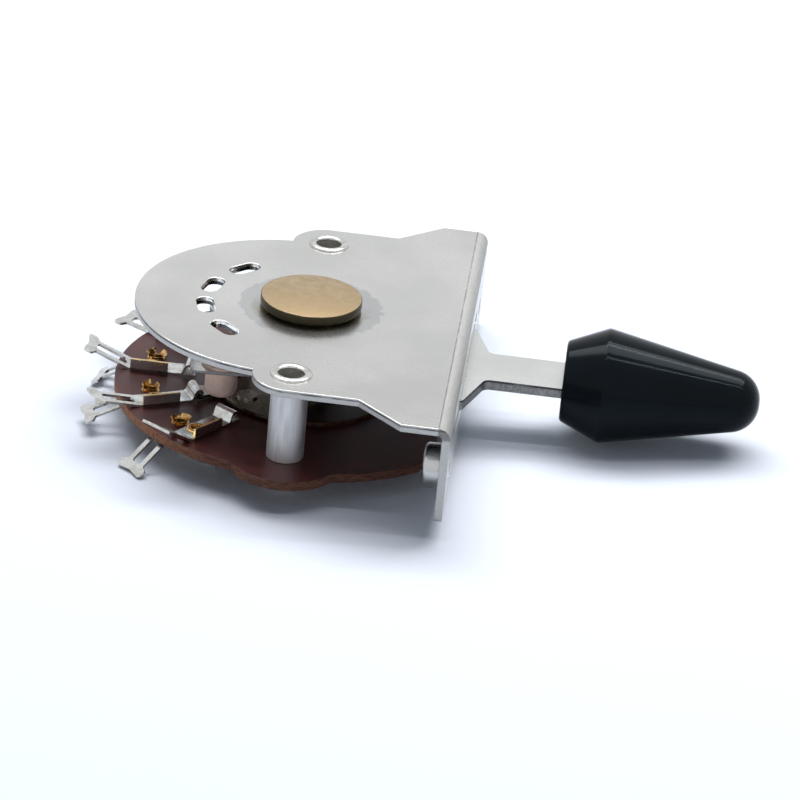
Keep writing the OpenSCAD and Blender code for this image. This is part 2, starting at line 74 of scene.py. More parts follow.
def make_camera(aim, distance, axes, lens):
    data = bpy.data.cameras.new("camera")
    data.lens, data.sensor_width = lens, 36
    data.clip_start, data.clip_end = 0.01, 10
    camera = bpy.data.objects.new("camera", data)
    scene.collection.objects.link(camera)
    matrix = np.eye(4)
    matrix[:3, :3] = axes.T
    matrix[:3, 3] = aim + axes[2] * distance
    camera.matrix_world = Matrix(matrix.tolist())
    return camera


AIM = np.array([-6.806, -5.932, 0]) * MM
DISTANCE, LENS = 400.13 * MM, 161.92
AZIMUTH, ELEVATION, ROLL = 3.09, 26.178, 5.638
scene.camera = make_camera(AIM, DISTANCE, camera_axes(AZIMUTH, ELEVATION, ROLL), LENS)
print("camera at", [round(v, 4) for v in scene.camera.matrix_world.translation])

# %% [markdown]
# ## Floor, world and lamps
# The switch lies on a white table under a large soft lamp. It doesn't stand level: it leans on the ridge of
# its tip and on the ends of the lower lugs, so the floor is a plane through those three places. The world
# is white to camera and mirror rays alone and dim to all others, so the lamps stay at a plain level and
# shadows soft.

# %% Helpers for node trees
class Finish:
    """A procedural material. Each method adds one node and returns its output socket."""

    def __init__(self, name, metallic=0.0, roughness=0.5, **sockets):
        self.material = bpy.data.materials.new(name)
        self.material.use_nodes = True
        self.tree = self.material.node_tree
        self.shader = self.tree.nodes["Principled BSDF"]
        self.shader.inputs["Metallic"].default_value = metallic
        self.shader.inputs["Roughness"].default_value = roughness
        for key, value in sockets.items():
            self.shader.inputs[key.replace("_", " ")].default_value = value
        where = self.add("ShaderNodeTexCoord")
        self.place, self.normal = where.outputs["Object"], where.outputs["Normal"]

    def add(self, kind, **settings):
        node = self.tree.nodes.new(kind)
        for key, value in settings.items():
            setattr(node, key, value)
        return node

    def feed(self, socket, value):
        if isinstance(value, bpy.types.NodeSocket):
            self.tree.links.new(value, socket)
        else:
            socket.default_value = value

    def math(self, operation, *values):
        node = self.add("ShaderNodeMath", operation=operation)
        for socket, value in zip(node.inputs, values):
            self.feed(socket, value)
        return node.outputs[0]

    def times(self, a, b):
        return self.math("MULTIPLY", a, b)

    def axis(self, vector, letter):
        node = self.add("ShaderNodeSeparateXYZ")
        self.feed(node.inputs[0], vector)
        return node.outputs["XYZ".index(letter)]

    def noise(self, per_mm, detail, rough, stretch=(1, 1, 1)):
        """Noise with per_mm waves a millimetre; an axis with a small stretch value has long marks along it."""
        scaled = self.add("ShaderNodeMapping", vector_type="POINT")
        self.feed(scaled.inputs["Vector"], self.place)
        scaled.inputs["Scale"].default_value = stretch
        node = self.add("ShaderNodeTexNoise")
        self.feed(node.inputs["Vector"], scaled.outputs[0])
        node.inputs["Scale"].default_value = per_mm / MM
        node.inputs["Detail"].default_value = detail
        node.inputs["Roughness"].default_value = rough
        return node.outputs["Fac"]

    def spread(self, value, low, high, to_low=0.0, to_high=1.0):
        """A smooth step: to_low up to low, to_high from high on, and between them in the range."""
        node = self.add("ShaderNodeMapRange", interpolation_type="SMOOTHSTEP", clamp=True)
        for socket, v in zip(node.inputs, (value, low, high, to_low, to_high)):
            self.feed(socket, v)
        return node.outputs[0]

    def mix(self, share, a, b):
        """Colour a where share is 0, colour b where it is 1."""
        node = self.add("ShaderNodeMix", data_type="RGBA", clamp_factor=True)
        self.feed(node.inputs[0], share)
        self.feed(node.inputs[6], (*a, 1) if isinstance(a, tuple) else a)
        self.feed(node.inputs[7], (*b, 1) if isinstance(b, tuple) else b)
        return node.outputs[2]

    def bump(self, height, depth_mm, strength=1.0, after=None):
        node = self.add("ShaderNodeBump")
        node.inputs["Strength"].default_value = strength
        node.inputs["Distance"].default_value = depth_mm * MM
        self.feed(node.inputs["Height"], height)
        if after is not None:
            self.feed(node.inputs["Normal"], after)
        return node.outputs[0]

    def from_pivot(self):
        """Distance from the shaft's axis, in metres: the square root of (x - px)^2 + y^2."""
        x = self.math("SUBTRACT", self.axis(self.place, "X"), float(PIVOT[0]))
        y = self.axis(self.place, "Y")
        return self.math("SQRT", self.math("ADD", self.times(x, x), self.times(y, y)))

    def flatness(self):
        """1 on faces that lie flat and 0 on upright ones: the size of the normal's z."""
        return self.math("ABSOLUTE", self.axis(self.normal, "Z"))

    def done(self, color=None, roughness=None, normal=None):
        for key, value in (("Base Color", color), ("Roughness", roughness), ("Normal", normal)):
            if value is not None:
                self.feed(self.shader.inputs[key], (*value, 1) if isinstance(value, tuple) else value)
        return self.material


def shade(color, share):
    return tuple(share * c for c in color)


def seen_directly(tree):
    """1 for rays from the camera and for mirror and glass rays, 0 for the light that falls on the object."""
    path = tree.nodes.new("ShaderNodeLightPath")
    total = path.outputs["Is Camera Ray"]
    for name in ("Is Glossy Ray", "Is Transmission Ray"):
        add = tree.nodes.new("ShaderNodeMath")
        add.operation, add.use_clamp = "ADD", True
        tree.links.new(total, add.inputs[0])
        tree.links.new(path.outputs[name], add.inputs[1])
        total = add.outputs[0]
    return total


# %% World
world = bpy.data.worlds.new("studio")
scene.world = world
world.use_nodes = True
background = world.node_tree.nodes["Background"]
share = world.node_tree.nodes.new("ShaderNodeMapRange")
LIGHT_ON_OBJECT = 0.155
share.inputs["To Min"].default_value = LIGHT_ON_OBJECT
share.inputs["To Max"].default_value = 1.0
direct = seen_directly(world.node_tree)
world.node_tree.links.new(direct, share.inputs["Value"])
world.node_tree.links.new(share.outputs[0], background.inputs["Strength"])
sky = world.node_tree.nodes.new("ShaderNodeMix")
sky.data_type = "RGBA"
sky.inputs[6].default_value = (0.76, 0.87, 1.0, 1)
sky.inputs[7].default_value = (0.97, 0.985, 1.0, 1)
world.node_tree.links.new(direct, sky.inputs[0])
world.node_tree.links.new(sky.outputs[2], background.inputs["Color"])

# %% Floor
def resting_plane(a, b, c):
    """Unit normal of the plane through three points, upwards."""
    normal = np.cross(b - a, c - a)
    return normal / np.linalg.norm(normal) * np.sign(normal[2])


def lowest(node):
    """The corner of a solid with the smallest height."""
    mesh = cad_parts[node].data
    points = np.zeros(len(mesh.vertices) * 3)
    mesh.vertices.foreach_get("co", points)
    points = points.reshape(-1, 3)
    return points[np.argmin(points[:, 2])]


def make_floor(a, b, c, half_size):
    """A square in the plane of the three points, with corners at middle +- half * along +- half * across."""
    normal = resting_plane(a, b, c)
    along = np.cross([0.0, 1.0, 0.0], normal)
    along /= np.linalg.norm(along)
    across = np.cross(normal, along)
    gap = 0.05
    middle = (a + b + c) / 3 - normal * gap * MM
    signs = np.array([[-1, -1], [1, -1], [1, 1], [-1, 1]])
    corners = middle + half_size * (signs[:, :1] * along + signs[:, 1:] * across)
    mesh = bpy.data.meshes.new("floor")
    mesh.from_pydata(corners.tolist(), [], [(0, 1, 2, 3)])
    floor = bpy.data.objects.new("floor", mesh)
    scene.collection.objects.link(floor)
    print("floor leans", round(math.degrees(math.acos(normal[2])), 2), "degrees")
    return floor


FLOOR_HALF = 3.0
floor = make_floor(lowest("knob"), lowest("contact_bottom_1"), lowest("contact_bottom_4"), FLOOR_HALF)
paper = Finish("white_table", roughness=0.85)
paper.done(color=(0.82, 0.87, 0.97))
glow = paper.add("ShaderNodeEmission")
glow.inputs["Color"].default_value = (0.84, 0.91, 1.0, 1)
lift = paper.times(seen_directly(paper.tree), 0.02)
paper.feed(glow.inputs["Strength"], lift)
both = paper.add("ShaderNodeAddShader")
output = paper.tree.nodes["Material Output"]
paper.feed(both.inputs[0], paper.shader.outputs[0])
paper.feed(both.inputs[1], glow.outputs[0])
paper.feed(output.inputs["Surface"], both.outputs[0])
floor.data.materials.append(paper.material)

# %% Lamps
def area_lamp(name, place, aim, size, power):
    """A rectangular lamp at place, facing aim. Its back axis is the unit vector from aim to place."""
    data = bpy.data.lights.new(name, "AREA")
    data.shape, data.size, data.size_y = "RECTANGLE", size[0], size[1]
    data.energy = power
    lamp = bpy.data.objects.new(name, data)
    scene.collection.objects.link(lamp)
    back = np.array(place, float) - aim
    back /= np.linalg.norm(back)
    side = np.cross([0.0, 1.0, 0.0], back)
    side /= np.linalg.norm(side)
    matrix = np.eye(4)
    matrix[:3, 0], matrix[:3, 1], matrix[:3, 2], matrix[:3, 3] = side, np.cross(back, side), back, place
    lamp.matrix_world = Matrix(matrix.tolist())
    return lamp


area_lamp("softbox_above", (0.0, 0.2, 0.52), np.zeros(3), (0.8, 0.3), 3.7)
area_lamp("tube_front", (0.03, -0.05, 0.56), np.zeros(3), (0.8, 0.006), 0.7)
area_lamp("tube_back", (0.03, 0.25, 0.52), np.zeros(3), (0.8, 0.006), 0.7)

# %% [markdown]
# ## Meshes from formulas and from solids
# A new surface is a grid of points worked out at once with numpy. A piece whose solid is already right is
# copied, its loose triangles are joined, and a Bevel modifier rounds its edges by a tenth of a millimetre
# or so, because real stamped and moulded edges always catch a thin line of light.

# %% Helpers for meshes
SAME_PLACE = 0.0005 * MM


def add_piece(name, mesh, body, material, replaces=()):
    piece = bpy.data.objects.new(name, mesh)
    scene.collection.objects.link(piece)
    mesh.materials.clear()
    mesh.materials.append(material)
    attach(piece, body)
    if replaces:
        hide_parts(*replaces)
    print(name, len(mesh.polygons), "faces")
    return piece


def grid_faces(rows, columns, wrap_rows, wrap_columns):
    """Quads between the neighbouring points of a rows x columns grid, which may close on itself both ways."""
    r = np.arange(rows if wrap_rows else rows - 1)[:, None]
    c = np.arange(columns if wrap_columns else columns - 1)[None, :]
    r2, c2 = (r + 1) % rows, (c + 1) % columns
    quads = np.stack([r * columns + c, r * columns + c2, r2 * columns + c2, r2 * columns + c], -1)
    return quads.reshape(-1, 4)


def mesh_from(name, parts, sharp_deg=35, drop_slivers=True):
    """One mesh from (points, faces) parts. Doubles at poles and seams are merged, normals point outwards."""
    points, faces, start = [], [], 0
    for part_points, part_faces in parts:
        points.append(part_points.reshape(-1, 3))
        faces += (part_faces + start).tolist()
        start += len(points[-1])
    mesh = bpy.data.meshes.new(name)
    mesh.from_pydata(np.concatenate(points).tolist(), [], faces)
    work = bmesh.new()
    work.from_mesh(mesh)
    bmesh.ops.remove_doubles(work, verts=work.verts, dist=SAME_PLACE)
    if drop_slivers:
        bmesh.ops.dissolve_degenerate(work, edges=work.edges, dist=SAME_PLACE)
    bmesh.ops.recalc_face_normals(work, faces=work.faces)
    work.to_mesh(mesh)
    work.free()
    mesh.shade_smooth()
    mesh.set_sharp_from_angle(angle=math.radians(sharp_deg))
    return mesh


def turned(profile, origin, axis, segments=96):
    """A turned part: profile rows are (radius, height), each swept round the axis.
    point = origin + height * axis + radius * (cos t * side + sin t * other)."""
    axis = np.array(axis, float) / np.linalg.norm(axis)
    side = np.cross(axis, [0.0, 0.0, 1.0] if abs(axis[2]) < 0.9 else [1.0, 0.0, 0.0])
    side /= np.linalg.norm(side)
    other = np.cross(axis, side)
    t = np.linspace(0, 2 * np.pi, segments, endpoint=False)
    ring = np.cos(t)[:, None] * side + np.sin(t)[:, None] * other
    profile = np.array(profile, float) * MM
    points = np.array(origin) + profile[:, None, 1:] * axis + profile[:, None, :1] * ring[None]
    return points, grid_faces(len(profile), segments, False, True)


def joined_copy(node):
    """The solid's own triangles with shared corners, and with the flat ones dissolved into plain faces."""
    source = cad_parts[node].data
    points = np.zeros(len(source.vertices) * 3)
    source.vertices.foreach_get("co", points)
    source.calc_loop_triangles()
    corners = np.zeros(len(source.loop_triangles) * 3, int)
    source.loop_triangles.foreach_get("vertices", corners)
    keys, place = np.unique(np.round(points.reshape(-1, 3) / (0.0008 * MM)), axis=0, return_inverse=True)
    shared = np.zeros((len(keys), 3))
    shared[place.ravel()] = points.reshape(-1, 3)
    faces = place.ravel()[corners].reshape(-1, 3)
    distinct = (faces[:, 0] != faces[:, 1]) & (faces[:, 1] != faces[:, 2]) & (faces[:, 0] != faces[:, 2])
    mesh = bpy.data.meshes.new(node + "_copy")
    mesh.from_pydata(shared.tolist(), [], faces[distinct].tolist())
    work = bmesh.new()
    work.from_mesh(mesh)
    bmesh.ops.dissolve_limit(work, angle_limit=math.radians(1), verts=work.verts, edges=work.edges)
    work.to_mesh(mesh)
    work.free()
    mesh.shade_smooth()
    mesh.set_sharp_from_angle(angle=math.radians(30))
    return mesh


def soften(piece, width_mm, segments=2):
    """Rounds every edge sharper than 30 degrees, and keeps the faces beside it flat to the light."""
    bevel = piece.modifiers.new("rounded_edges", "BEVEL")
    bevel.width, bevel.segments = width_mm * MM, segments
    bevel.limit_method, bevel.angle_limit = "ANGLE", math.radians(30)
    bevel.harden_normals = True
    bevel.miter_outer = "MITER_ARC"


# %% [markdown]
# ## Nickel-plated sheet
# The frame is stamped from rolled steel and then bent and plated. The roll leaves faint marks along the
# sheet, the plating is slightly uneven, and the sheared edges are grainy under a rounded upper rim. Old
# grease shows round the pivot, most of it in front. Shade is painted into the colour as well: a dark line
# under the rim, a darker front, the bend, and the lower walls of the windows, whose upper walls get a
# painted highlight. All of that depends on the place on the part, so it reads Object coordinates.

# %% Finish of the frame
def painted_shade_under_rim(f, high, top, low, rim, edge):
    """1 on a broken line of the sheared edge, between low and rim mm below the sheet's upper face: painted
    shade.
    """
    line = f.times(f.spread(high, (top - low) * MM, (top - low + 0.08) * MM),
                   f.spread(high, (top - rim) * MM, (top - rim - 0.07) * MM))
    return f.times(f.times(line, edge), f.spread(f.noise(0.35, 3, 0.6), 0.35, 0.55, 0.45, 1.0))


def bend_marks(f, high):
    """Two masks on the upper frame: the bend's stretched skin and the line where it begins, both painted as
    shade.
    """
    x = f.axis(f.place, "X")
    upper = f.spread(high, 5.8 * MM, 6.1 * MM)
    skin = f.times(f.spread(x, -1.32 * MM, -1.22 * MM), upper)
    seam = f.times(f.spread(x, -1.42 * MM, -1.32 * MM), f.spread(x, -1.18 * MM, -1.28 * MM))
    seam = f.times(f.times(seam, upper), f.spread(f.noise(0.5, 3, 0.6), 0.3, 0.6, 0.35, 0.8))
    return skin, seam


def old_grease(f, tone, away):
    """A dull ragged halo round the shaft, and a smear of grease in front of it, on the upper face alone."""
    front = f.spread(f.axis(f.place, "Y"), 2.5 * MM, -4.5 * MM)
    ragged = f.times(f.math("SUBTRACT", f.noise(0.7, 5, 0.7), 0.5), 2.6 * MM)
    reach = f.math("ADD", away, ragged)
    halo = f.spread(reach, 8.2 * MM, 7.9 * MM, 0.0, 0.45)
    smear = f.times(f.spread(reach, 7.0 * MM, 6.2 * MM), front)
    on_top = f.spread(f.axis(f.normal, "Z"), 0.8, 0.95)
    tone = f.mix(f.times(on_top, halo), tone, (0.3, 0.3, 0.32))
    return f.mix(f.times(on_top, f.times(smear, 0.8)), tone, (0.26, 0.25, 0.19))


def nickel_finish(name, color, grease_and_painted_shade, top, shear):
    """Plated sheet whose upper face is top mm high. Its sheared edges are shear times as bright as its faces.
    The flag adds what the frame alone has: shade painted on front, bend and windows, a painted highlight on
    the window walls, bosses, and grease round the pivot."""
    f = Finish(name, metallic=1.0)
    marks = f.noise(2.6, 4, 0.6, stretch=(0.1, 1, 1))
    grain = f.noise(12, 2, 0.6)
    cloud = f.noise(0.1, 3, 0.5)
    tone = f.mix(f.spread(cloud, 0.3, 0.7), shade(color, 0.97), shade(color, 1.015))
    tone = f.mix(f.spread(marks, 0.6, 0.8, 0.0, 0.12), tone, shade(color, 0.7))
    rough = f.math("ADD", f.spread(cloud, 0.3, 0.75, 0.2, 0.26), f.spread(grain, 0.35, 0.7, 0.0, 0.06))
    # sheared edges: the faces that stand upright, on the frame those behind the bend and the flange's ends
    steep = f.spread(f.flatness(), *((0.75, 0.35) if grease_and_painted_shade else (0.97, 0.8)))
    behind_bend = f.spread(f.axis(f.place, "X"), -1.25 * MM, -1.45 * MM)
    end_face = f.spread(f.math("ABSOLUTE", f.axis(f.normal, "Y")), 0.35, 0.75)
    edge = f.math("MAXIMUM", f.times(steep, behind_bend), end_face) if grease_and_painted_shade else steep
    high = f.axis(f.place, "Z")
    bite = f.noise(9, 3, 0.7)
    if grease_and_painted_shade:
        # the front is painted a little darker as shade, and bosses and windows aren't sheared like the outline
        painted_front_shade = f.spread(f.axis(f.place, "Y"), 6 * MM, -20 * MM, 0.0, 0.5)
        tone = f.mix(f.times(painted_front_shade, f.spread(marks, 0.2, 0.6, 0.7, 1.0)), tone, shade(color, 0.78))
        behind_flange = f.spread(f.axis(f.place, "X"), -0.95 * MM, -1.05 * MM)
        bosses = f.times(behind_flange, f.spread(high, 6 * MM, 5.5 * MM))
        edge = f.math("SUBTRACT", edge, f.times(edge, bosses))
        away = f.from_pivot()
        inner = f.times(edge, f.spread(away, 14.2 * MM, 13.8 * MM))
        edge = f.math("SUBTRACT", edge, inner)
    patchy = f.spread(bite, 0.42, 0.62, 0.9 - shear, 1.3 - shear)
    tone = f.mix(f.times(edge, patchy), tone, shade(color, shear))
    rough = f.math("ADD", rough, f.times(edge, 0.16))
    low, rim = (0.38, 0.14) if grease_and_painted_shade else (0.3, -0.1)
    # a broken dark line of painted shade under the rounded rim of the sheared edges
    tone = f.mix(painted_shade_under_rim(f, high, top, low, rim, edge), tone, (0.05, 0.05, 0.05))
    if grease_and_painted_shade:
        # the line where the bend begins and the bend's skin are painted darker as shade; the skin is also
        # rougher
        skin, seam = bend_marks(f, high)
        tone = f.mix(seam, tone, (0.16, 0.16, 0.16))
        tone = f.mix(f.times(skin, f.spread(bite, 0.45, 0.65, 0.4, 0.8)), tone, shade(color, 0.3))
        rough = f.math("ADD", rough, f.times(skin, 0.4))
        # the walls of the windows are smooth: a highlight is painted where the punch rolled them over, and shade
        # below
        tone = f.mix(inner, tone, (0.9, 0.9, 0.88))
        deep = f.spread(high, 6.9 * MM, 6.8 * MM, 0.0, 0.95)
        tone = f.mix(f.times(inner, deep), tone, (0.05, 0.052, 0.05))
        tone = old_grease(f, tone, away)
    normal = f.bump(marks, 0.003, 0.4)
    normal = f.bump(grain, 0.002, 0.5, normal)
    normal = f.bump(f.times(bite, f.math("MAXIMUM", edge, skin) if grease_and_painted_shade else edge), 0.05, 0.6, normal)
    return f.done(color=tone, roughness=rough, normal=normal)


frame_finish = nickel_finish("nickel_sheet", (0.55, 0.55, 0.535), True, PLATE_TOP, 0.58)
sheet = add_piece("frame_sheet", joined_copy("frame"), "frame", frame_finish, ["frame"])
soften(sheet, 0.13, 3)

# %% [markdown]
# ## The lever
# The lever is the same kind of sheet, a little thicker, and the carrier of the ball cups on it is a thin
# one. Both are flat stampings, so the copies of their solids keep their shape, and the finish is the
# frame's without grease.

# %% Lever and carrier
lever_finish = nickel_finish("lever_nickel", (0.6, 0.605, 0.595), False, LEVER_TOP, 0.21)
lever = add_piece("lever_blade", joined_copy("lever"), "lever", lever_finish, ["lever"])
soften(lever, 0.04)
carrier = add_piece("carrier_sheet", joined_copy("detent_carrier"), "lever", lever_finish,
                    ["detent_carrier"])
soften(carrier, 0.05)

# %% [markdown]
# ## Brass shaft
# The shaft is turned from brass and its head shows faint scratches on a dull, slightly spotted face. The
# side and the rounded edge above it are painted nearly black as shade.

# %% Finish and head of the shaft
def brass_finish():
    f = Finish("turned_brass", metallic=1.0)
    spots = f.noise(0.9, 5, 0.7)
    scratches = f.noise(1.6, 3, 0.6, stretch=(1, 0.12, 1))
    tone = f.mix(f.spread(spots, 0.35, 0.7), (0.34, 0.245, 0.135), (0.46, 0.345, 0.2))
    tone = f.mix(f.spread(scratches, 0.6, 0.75, 0, 0.35), tone, (0.3, 0.2, 0.1))
    # the side and the rounded edge above it are painted nearly black as shade, over the reflections they catch
    side = f.spread(f.flatness(), 0.985, 0.9)
    tone = f.mix(f.times(side, 0.93), tone, (0.035, 0.034, 0.024))
    rough = f.spread(spots, 0.3, 0.7, 0.38, 0.26)
    normal = f.bump(scratches, 0.004, 0.6)
    return f.done(color=tone, roughness=rough, normal=normal)


shaft_finish = brass_finish()
shaft = add_piece("shaft", joined_copy("pivot_shaft"), "lever", shaft_finish, ["pivot_shaft"])
soften(shaft, 0.04)

# %% [markdown]
# ## Phenolic board
# The board is paper laminate soaked in resin: dark red-brown and half glossy on its faces, lighter and
# rough where it is punched. The layers show as fine lines along the edge.

# %% Finish of board and rotor
def laminate_finish(name, face, cut):
    f = Finish(name, roughness=0.4, Specular_IOR_Level=0.3)
    mottle = f.noise(0.35, 5, 0.65)
    fibre = f.noise(3.5, 3, 0.6, stretch=(1, 0.3, 1))
    tone = f.mix(f.spread(mottle, 0.3, 0.72), shade(face, 0.72), shade(face, 1.25))
    tone = f.mix(f.spread(fibre, 0.55, 0.8, 0, 0.3), tone, shade(face, 1.7))
    edge = f.spread(f.flatness(), 0.8, 0.4)
    layers = f.noise(7, 3, 0.7, stretch=(0.12, 0.12, 1))
    chips = f.noise(2.4, 4, 0.7)
    rim = f.mix(f.spread(layers, 0.35, 0.65), shade(cut, 0.5), shade(cut, 1.9))
    # the cut edge is painted paler at the back end, out from under the plate: painted light in a chipped pattern
    far_back = f.spread(f.axis(f.place, "X"), -24 * MM, -36 * MM)
    painted_light_on_edge = f.times(far_back, f.spread(chips, 0.35, 0.6, 0.2, 0.8))
    rim = f.mix(painted_light_on_edge, rim, (0.52, 0.23, 0.115))
    rim = f.mix(f.spread(chips, 0.5, 0.7, 0, 0.7), rim, face)
    tone = f.mix(edge, tone, rim)
    rough = f.math("ADD", f.spread(mottle, 0.3, 0.7, 0.3, 0.42), f.times(edge, 0.4))
    normal = f.bump(fibre, 0.006, 0.4)
    normal = f.bump(f.times(chips, edge), 0.2, 0.9, normal)
    return f.done(color=tone, roughness=rough, normal=normal)


board_finish = laminate_finish("red_laminate", (0.075, 0.016, 0.015), (0.09, 0.036, 0.02))
rotor_finish = laminate_finish("dark_laminate", (0.03, 0.014, 0.012), (0.1, 0.045, 0.025))
board = add_piece("board_punched", joined_copy("board"), "frame", board_finish, ["board"])
soften(board, 0.06)
rotor = add_piece("rotor_disc", joined_copy("rotor"), "lever", rotor_finish, ["rotor"])
soften(rotor, 0.04)

# %% [markdown]
# ## Contacts
# Each contact is stamped from silver-plated brass. Its faces are silver and its cut edges bare brass, so
# the mesh says which faces are cut: a number on each face, worked out from where the face lies on the
# folded strip.

# %% Which faces of a contact are cut
CONTACT_DEG = [-55.0, -27.5, 0.0, 27.5]
STAGGER_DEG = 9.0
LUG_ROOT, WALL_FROM, WALL_TO = 20.0 * MM, 15.4 * MM, 19.7 * MM
STRIP_SIDE, WALL_HIGH = 1.4 * MM, 1.45 * MM
BOARD_TOP, BOARD_LOW = PLATE_TOP * MM - 9.9 * MM, PLATE_TOP * MM - 11.0 * MM
EYELET_RING = 17.6 * MM


def cut_faces(mesh, degrees, below):
    """A number on each face, in the contact's own axes: along = away from the shaft, across = over the
    strip, high = away from the board. It is 1 on the strip's two side edges and on the wall's top and ends,
    and 0.05 on the tinned edges of the lug."""
    middles = np.zeros(len(mesh.polygons) * 3)
    normals = np.zeros(len(mesh.polygons) * 3)
    mesh.polygons.foreach_get("center", middles)
    mesh.polygons.foreach_get("normal", normals)
    base = [PIVOT[0], 0, BOARD_LOW if below else BOARD_TOP]
    middles, normals = middles.reshape(-1, 3) - base, normals.reshape(-1, 3)
    flip = -1 if below else 1
    out = np.array([-math.cos(math.radians(degrees)), math.sin(math.radians(degrees)), 0])
    over = np.array([-out[1], out[0], 0]) * flip
    along, across, high = middles @ out, middles @ over, middles[:, 2] * flip
    points = [float((np.array(v.co) - base) @ out) for v in mesh.vertices]
    n_along, n_across, n_high = normals @ out, normals @ over, normals[:, 2] * flip
    side_edge = (np.abs(n_across) > 0.8) & ((np.abs(across - STRIP_SIDE) < 0.03 * MM) | (across < -1.1 * MM))
    at_end = (np.abs(along - WALL_FROM) < 0.05 * MM) | (np.abs(along - WALL_TO) < 0.05 * MM)
    wall_end = (np.abs(n_along) > 0.8) & at_end & (across > 0.9 * MM)
    wall_top = (n_high > 0.8) & (high > WALL_HIGH) & (across > 1.3 * MM)
    furthest = np.array([max(points[v] for v in face.vertices) for face in mesh.polygons])
    lug = furthest > LUG_ROOT + 0.6 * MM
    lug_edge = lug & (np.abs(n_across) + np.abs(n_along) > 0.8) & (np.abs(n_high) < 0.6)
    return np.where(lug, 0.05 * lug_edge, side_edge | wall_end | wall_top).astype(np.float32)


def contact_finish():
    f = Finish("silvered_brass", metallic=1.0)
    cut = f.add("ShaderNodeAttribute", attribute_name="cut").outputs["Fac"]
    tarnish = f.noise(0.8, 4, 0.65)
    scuff = f.noise(4, 3, 0.6, stretch=(0.4, 1, 1))
    face = f.mix(f.spread(tarnish, 0.38, 0.72), (0.6, 0.605, 0.6), (0.4, 0.395, 0.36))
    edge = f.mix(f.spread(scuff, 0.3, 0.7), (0.5, 0.33, 0.12), (0.74, 0.54, 0.26))
    rough = f.spread(tarnish, 0.3, 0.7, 0.14, 0.28)
    normal = f.bump(scuff, 0.004, 0.35)
    return f.done(color=f.mix(cut, face, edge), roughness=rough, normal=normal)


silver_finish = contact_finish()
for row, below in (("top", False), ("bottom", True)):
    for i, degrees in enumerate(CONTACT_DEG):
        node = f"contact_{row}_{i + 1}"
        mesh = joined_copy(node)
        values = cut_faces(mesh, degrees + (STAGGER_DEG if below else 0), below)
        mesh.attributes.new("cut", "FLOAT", "FACE").data.foreach_set("value", values)
        clip_name = node.replace("contact", "clip")
        clip = add_piece(clip_name, mesh, "frame", silver_finish, [node])
        soften(clip, 0.03)

# %% [markdown]
# ## Brass eyelets
# A split eyelet holds each contact. Its end is pushed through the board and bursts into petals that curl
# over on the far side. Each petal is a patch of a flared tube whose radius grows as it bends over.

# %% Petals
def petals(middle, down, count, inner, reach, seed):
    """Petals of a burst tube, each leaning out by its own amount: for b from 0 to 1 along a petal, radius =
    inner + reach * lean * b^1.3 and height = rise * (b - 0.25 * lean * b^2). The tip is torn aslant."""
    rng = np.random.default_rng(seed)
    parts = []
    for k in range(count):
        b = np.linspace(0, 1, 6)[:, None]
        s = np.linspace(-1, 1, 6)[None, :]
        lean, rise, slant = rng.uniform(0.2, 0.95), rng.uniform(0.5, 0.7), rng.uniform(-0.2, 0.2)
        half = (0.84 - 0.2 * b) * np.pi / count
        t = 2 * np.pi * (k + 0.16 * rng.uniform(-1, 1)) / count + 0.6 + s * half
        along = b * (1 + slant * s * b)
        radius = inner + reach * lean * along ** 1.3 + 0.06 * b * np.abs(s)
        height = rise * (along - 0.25 * lean * along ** 2)
        skin = []
        for thick in (0.0, 0.1):
            skin.append(np.stack([(radius - thick) * np.cos(t), (radius - thick) * np.sin(t),
                                  (height + thick * 0.4 * b) * down], -1))
        shell = np.concatenate([skin[0], skin[1][:, ::-1]], axis=1) * MM + middle
        parts.append((shell, grid_faces(6, 12, False, True)))
        for end in (0, 5):
            parts.append((shell[end], np.arange(12)[None, :]))
    return parts


def eyelet_parts(middle, up, seed):
    """A turned head on the contact, the tube through it, and the petals on the far side of the board."""
    head = [(0.7, 0.36), (0.74, 0.44), (0.9, 0.48), (1.1, 0.46), (1.2, 0.39), (1.25, 0.31), (1.02, 0.3),
            (1.0, -1.06), (0.75, -1.06), (0.7, 0.36)]
    axis = np.array([0, 0, 1.0 if up else -1.0])
    return [turned(head, middle, axis, 40)] + petals(middle - axis * 1.1 * MM, -axis[2], 3, 0.8, 0.55, seed)


f = Finish("bright_brass", metallic=1.0)
wear = f.noise(1.5, 4, 0.6)
eyelet_finish = f.done(
    color=f.mix(f.spread(wear, 0.35, 0.7), (0.66, 0.41, 0.16), (0.3, 0.17, 0.07)),
    roughness=f.spread(wear, 0.3, 0.7, 0.14, 0.3), normal=f.bump(f.noise(4, 2, 0.5), 0.012, 0.6)
)
parts = []
for i, degrees in enumerate(CONTACT_DEG):
    for below in (False, True):
        a = math.radians(degrees + (STAGGER_DEG if below else 0))
        level = BOARD_LOW if below else BOARD_TOP
        middle = np.array([PIVOT[0] - EYELET_RING * math.cos(a), EYELET_RING * math.sin(a), level])
        for points, faces in eyelet_parts(middle, not below, 10 * i + below):
            parts.append((points, faces))
eyelet_mesh = mesh_from("split_eyelets", parts, 35, False)
add_piece("split_eyelets", eyelet_mesh, "frame", eyelet_finish, ["contact_eyelets"])

# %% [markdown]
# ## Knob
# The tip is a black moulding pushed on the lever: a short cone up to a soft ridge, then a long cone that
# ends in nearly half a ball. It is a turned profile whose corners are rounded by arcs that touch both
# straight lines.

